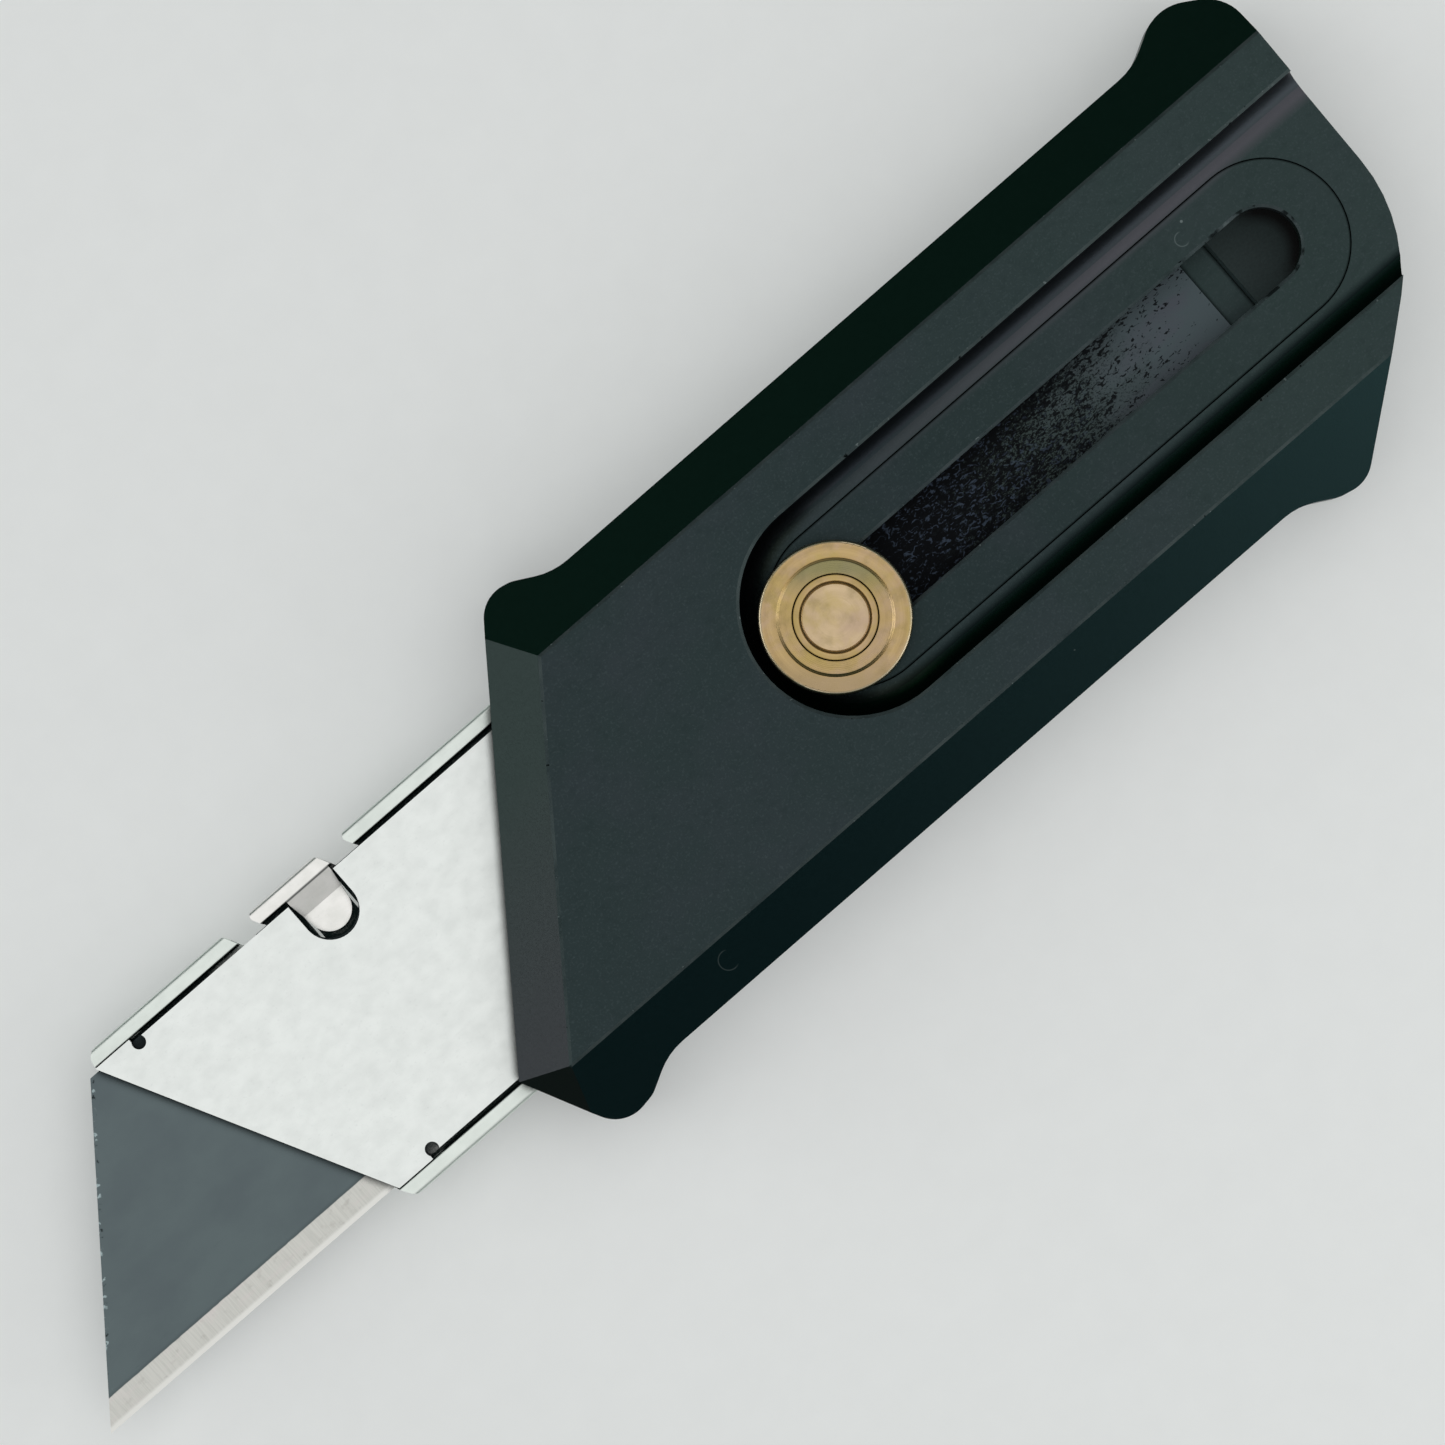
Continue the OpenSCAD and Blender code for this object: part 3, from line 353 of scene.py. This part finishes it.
def blade_steel(tip, end_angle, bevel):
    """Carbon steel blade: a smooth grey lacquer on the sides, and a bright bevel ground across its edge.

    The lacquer is scuffed in a few thin diagonal streaks and chipped along the slanted end, and the
    outermost 0.35 mm of the bevel is honed a little brighter.
    """
    made, tree, shader = material("blade steel", Metallic=0.9, Roughness=0.38)
    wander_mm, honed_mm = 0.03, 0.35
    edge_y = tip[1]
    inward = (math.sin(end_angle), -math.cos(end_angle), 0)
    from_tip = add(tree, "VectorMath", {0: add(tree, "TexCoord", output="Object"), 1: (tip[0], tip[1], 0)},
                   operation="SUBTRACT")
    from_end = add(tree, "VectorMath", {0: from_tip, 1: inward}, "Value", operation="DOT_PRODUCT")
    ragged = grains(tree, (0.6, 5, 5))
    wander = add(tree, "MapRange", {
        "Value": ragged, "To Min": -wander_mm * MM, "To Max": wander_mm * MM})
    line = add(tree, "Math", {0: wander, 1: place(tree, "Y")}, operation="ADD")
    border = edge_y + bevel
    ground = where_all(tree, [(line, border + 0.02 * MM, border - 0.04 * MM)])
    stain = grains(tree, (6, 4, 4), detail=5)
    scuff = grains(tree, (3.2, 0.1, 0.5), detail=3, turn=-0.25)
    fine = grains(tree, (0.3, 0.3, 0.3))
    chip = grains(tree, (0.5, 0.5, 0.5), detail=4)
    grey = coated(tree, tint("#616d6f"), "#5c676a", (stain, 0.4, 0.65))
    grey = coated(tree, grey, "#4b5558", (scuff, 0.69, 0.76), most=0.5)
    grey = coated(tree, grey, "#9fb0b2", (chip, 0.58, 0.62), (from_end, 0.3 * MM, 0.2 * MM))
    grey = coated(tree, grey, "#2c3436", (chip, 0.4, 0.36), (from_end, 0.3 * MM, 0.2 * MM))
    grey = coated(tree, grey, "#3d4648", (line, border + 0.25 * MM, border), most=0.4)
    strokes = grains(tree, (0.09, 2.4, 1.0), detail=2)
    patches = grains(tree, (0.9, 0.7, 1.0), detail=4)
    rosy = grains(tree, (3, 0.8, 1))
    bright = coated(tree, tint("#cfcfc9"), "#bfc0ba", (strokes, 0.4, 0.65), most=0.6)
    bright = coated(tree, bright, "#a5a29c", (patches, 0.58, 0.74), most=0.5)
    bright = coated(tree, bright, "#d6cccb", (rosy, 0.5, 0.7), most=0.4)
    honed = (line, edge_y + (honed_mm + 0.1) * MM, edge_y + (honed_mm - 0.1) * MM)
    bright = coated(tree, bright, "#e3e3de", honed)
    tone = coated(tree, grey, bright, (ground, 0, 1))
    # Painted shade from ambient occlusion: a shadow along the carrier plate's edge and in the holes over the
    # blade.
    tone = hollow_grime_and_shade(tree, tone, 0.9, "#171d1e", least=0.55, most=0.9)
    rough = add(tree, "MapRange", {"Value": ground, "To Min": 0.4, "To Max": 0.32})
    finish_with(tree, shader, Base_Color=tone, Roughness=rough,
                Normal=dented(tree, (fine, 0.001), (strokes, 0.001)))
    return made


def flecked_steel(dark_x, pale_x):
    """Steel strip under the slider: near black towards the button, paler with black flecks behind.

    It is fully dark at dark_x and fully pale at pale_x, with a ragged border drifting between them.
    """
    made, tree, shader = material("flecked steel", Metallic=0.9, Roughness=0.42)
    along = add(tree, "MapRange", {"Value": place(tree, "X"), "From Min": dark_x, "From Max": pale_x})
    across = place(tree, "Y")
    cloud = grains(tree, (3, 1.5, 2), detail=5)
    drift = add(tree, "MapRange", {"Value": cloud, "To Min": -0.17, "To Max": 0.17})
    paling = add(tree, "Math", {0: along, 1: drift}, operation="ADD")
    rosy = grains(tree, (5, 2, 3))
    tone = coated(tree, tint("#0d1219"), "#36413f", (paling, 0.08, 0.42))
    tone = coated(tree, tone, "#4b565a", (paling, 0.5, 0.85))
    tone = coated(tree, tone, "#4f515a", (rosy, 0.42, 0.6), (paling, 0.6, 0.9), most=0.6)
    fleck = grains(tree, (0.42, 0.2, 0.4), detail=2, turn=-0.5, curl=0.6)
    dot = grains(tree, (0.2, 0.13, 0.2), detail=3, turn=0.4, curl=0.8)
    pale_share = add(tree, "MapRange", {"Value": paling, "From Min": 0.05, "To Min": -0.19, "To Max": 0.15})
    spine_side = add(tree, "MapRange", {
        "Value": across, "From Min": 1.0 * MM, "From Max": 2.6 * MM, "To Max": 0.09})
    shy = add(tree, "Math", {0: pale_share, 1: spine_side}, operation="SUBTRACT")
    more = add(tree, "Math", {0: fleck, 1: shy}, operation="SUBTRACT")
    dots = add(tree, "Math", {0: dot, 1: shy}, operation="SUBTRACT")
    tone = coated(tree, tone, "#05070a", (dots, 0.5, 0.54), (paling, 0.85, 0.6), most=0.85)
    tone = coated(tree, tone, "#05070a", (more, 0.53, 0.56), most=0.92)
    pale = grains(tree, (0.5, 0.28, 0.4), detail=8, turn=0.9, curl=1.2)
    dark_stretch = [(paling, 0.7, 0.35), (paling, -0.12, 0.12)]
    tone = coated(tree, tone, "#434f5f", (pale, 0.55, 0.63), *dark_stretch, most=0.6)
    # Painted shade from ambient occlusion in the strip's hollows.
    tone = hollow_grime_and_shade(tree, tone, 0.5, "#05080a")
    finish_with(tree, shader, Base_Color=tone, Normal=dented(tree, (fleck, 0.005)))
    return made


def moulded_nylon(slot_rear):
    """Moulded black nylon: matt, with the faint 0.2 mm texture of a spark-eroded mould.

    A painted shadow lies on it below the rear end of the slot, a half circle round slot_rear.
    """
    made, tree, shader = material("moulded nylon", Roughness=0.55)
    shader.inputs["Specular IOR Level"].default_value = 0.2
    grain = grains(tree, (0.2, 0.2, 0.2))
    tone = coated(tree, tint("#2f3d3d"), "#3a4949", (grain, 0.2, 0.8))
    out = out_from(tree, 0, slot_rear)
    behind = (place(tree, "X"), slot_rear, slot_rear + 1.5 * MM)
    # Painted shadow: a dark crescent below the slot's rear end.
    tone = coated(tree, tone, "#020404", (out, 1.7 * MM, 2.5 * MM), behind)
    finish_with(tree, shader, Base_Color=tone, Normal=dented(tree, (grain, 0.006)))
    return made


def black_oxide():
    """Black oxide on the steel screws: dark, slightly bluish, and rubbed brighter in places."""
    made, tree, shader = material("black oxide", Metallic=0.9, Roughness=0.35)
    rub = grains(tree, (0.6, 0.6, 0.6), detail=4)
    tone = coated(tree, tint("#2b2d30"), "#5c5f62", (rub, 0.5, 0.75))
    finish_with(tree, shader, Base_Color=tone, Normal=dented(tree, (rub, 0.004)))
    return made


def pale_paper():
    """Matt paper that keeps the ground pale and plain, seen a little brighter than it lights the knife."""
    made, tree, shader = material("pale paper", Roughness=0.9)
    shader.inputs["Specular IOR Level"].default_value = 0.1
    fibre = grains(tree, (3, 3, 3), detail=5)
    tone = coated(tree, tint("#d6d8d7"), "#dcdedd", (fibre, 0, 1))
    straight = add(tree, "LightPath", output="Is Camera Ray")
    mirrored = add(tree, "LightPath", output="Is Glossy Ray")
    through = add(tree, "LightPath", output="Is Transmission Ray")
    seen = add(tree, "Math", {0: straight, 1: mirrored}, operation="MAXIMUM")
    seen = add(tree, "Math", {0: seen, 1: through}, operation="MAXIMUM")
    lift = where_all(tree, [(seen, 0, 1)], most=0.25)
    shader.inputs["Emission Color"].default_value = tint("#e8eae9")
    finish_with(tree, shader, Base_Color=tone, Emission_Strength=lift)
    return made


# ---- Shapes ----

def smooth(name):
    """Curved surfaces are shaded round, and corners sharper than 10 degrees stay crisp."""
    node = NODES[name]
    for polygon in node.data.polygons:
        polygon.use_smooth = True
    node.modifiers.new("weld", "WELD").merge_threshold = 0.0005 * MM
    node.modifiers.new("corners", "EDGE_SPLIT").split_angle = math.radians(10)


def paint(name, finish):
    NODES[name].data.materials.clear()
    NODES[name].data.materials.append(finish)


# ---- Studio ----

def lay_floor():
    mesh = bpy.data.meshes.new("floor")
    half = 2.0
    corners = [(-half, -half, 0), (half, -half, 0), (half, half, 0), (-half, half, 0)]
    mesh.from_pydata(corners, [], [(0, 1, 2, 3)])
    floor = bpy.data.objects.new("floor", mesh)
    floor.location.z = -0.02 * MM
    bpy.context.scene.collection.objects.link(floor)
    mesh.materials.append(pale_paper())


def hang_light(name, where, size, radiance, look=(0.0, 0.0, 0.0), turn=0.0):
    """A white softbox facing look and turned about its own axis, with radiance on the scale of the dome."""
    data = bpy.data.lights.new(name, "AREA")
    data.shape, data.size, data.size_y = "RECTANGLE", size[0], size[1]
    data.energy = radiance * math.pi * size[0] * size[1]
    light = bpy.data.objects.new(name, data)
    light.location = where
    light.visible_camera = False
    light.rotation_euler = (Vector(look) - Vector(where)).to_track_quat("-Z", "Y").to_euler()
    light.rotation_euler.rotate_axis("Z", turn)
    bpy.context.scene.collection.objects.link(light)


def set_world():
    """A soft dome: bright overhead, leaning a little to the edge side, and dim green at the horizon."""
    world = bpy.data.worlds.new("studio")
    bpy.context.scene.world = world
    world.use_nodes = True
    tree = world.node_tree
    lean = math.radians(10)
    where = add(tree, "TexCoord", output="Generated")
    up = add(tree, "VectorMath", {0: where, 1: (0, -math.sin(lean), math.cos(lean))}, "Value",
             operation="DOT_PRODUCT")
    dome = coated(tree, tint("#1c3a36"), "#cacaca", (up, 0.35, 0.72))
    tree.links.new(dome, tree.nodes["Background"].inputs["Color"])
    tree.nodes["Background"].inputs["Strength"].default_value = 1.0


def beside(angle, distance, height):
    """A place round the knife: angle counter-clockwise from the picture's right, in degrees."""
    turned = math.radians(angle) - LEAN
    return (distance * math.cos(turned), distance * math.sin(turned), height)


aim_camera()
bpy.context.scene.view_settings.view_transform = "Standard"
set_world()
lay_floor()
hang_light("overhead softbox", (0, 0, 1.0), (1.7, 1.1), 0.42, turn=-LEAN)
hang_light("left softbox", beside(180, 0.85, 0.3), (0.8, 0.4), 2.1)
hang_light("right softbox", beside(-14, 0.23, 0.09), (0.18, 0.14), 1.6, look=(0.03, 0, 0.01))

button_low, button_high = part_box("thumb_button")
button_centre = tuple((a + b) / 2 for a, b in zip(button_low, button_high))
blade_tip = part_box("blade")[0]
strip_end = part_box("wear_strip")[1][0]
latch_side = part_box("blade_latch")[1][1]
shell_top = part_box("front_shell")[1][2]
insert_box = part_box("slot_insert")
insert_top = insert_box[1][2]

# Sizes that the pieces' boxes don't give: the latch's lip, the slide, the blade's slanted end and ground
# bevel, the edge bevels' height, and how far the strip's fully dark stretch goes in under the button.
lip_w = 1.1 * MM
slide_travel = 37.9 * MM
blade_angle = math.radians(52.3)
bevel_w = 1.9 * MM
edge_depth = 0.15 * MM
dark_inset = 2 * MM

SHELL = anodised("black anodised shell", "#2d3839", "#465050", 0.38, shell_top - edge_depth, insert_box,
                 scratches_mm=[(-25.7, -12.6, 0.7)])
INSERT = anodised("black anodised insert", "#2a3536", "#454e50", 0.4, insert_top - edge_depth, insert_box,
                  scratches_mm=[(28.9, 3.9, 0.5)])
SHEET = stainless("stainless sheet", "#eaeeeb", "#e4e8e5", 0.38)
CHANNEL = stainless("stainless channel", "#e2e9e3", "#dce3dd", 0.38)
SPRING = stainless("stainless spring", "#f0efeb", "#e5e5e0", 0.34)
LATCH = stainless("stainless latch", "#f0efeb", "#e5e5e0", 0.34, fold_y=latch_side - lip_w)
BRASS = turned_brass("turned brass", button_centre, "#bfa474", "#a68c61")
BRASS_POST = turned_brass("turned brass post", button_centre, "#cdb591", "#b7a07c")
BLADE = blade_steel(blade_tip, blade_angle, bevel_w)
STRIP = flecked_steel(button_high[0] - dark_inset, strip_end)
NYLON = moulded_nylon(button_centre[0] + slide_travel)
OXIDE = black_oxide()

FINISHES = {
    "front_shell": SHELL, "back_cover": SHELL, "slot_insert": INSERT, "wear_strip": STRIP, "rear_pad": NYLON,
    "cover_screws": OXIDE, "dowel_pins": SPRING, "carrier_channel": CHANNEL, "carrier_plate": SHEET,
    "blade_latch": LATCH, "blade_spacer": SHEET, "carrier_rivets": SPRING, "slider_block": NYLON,
    "lock_spring": SPRING, "spring_rivets": SPRING, "thumb_button": BRASS, "button_post": BRASS_POST,
    "post_clip": SPRING, "blade": BLADE,
}
for name, finish in FINISHES.items():
    paint(name, finish)
    smooth(name)
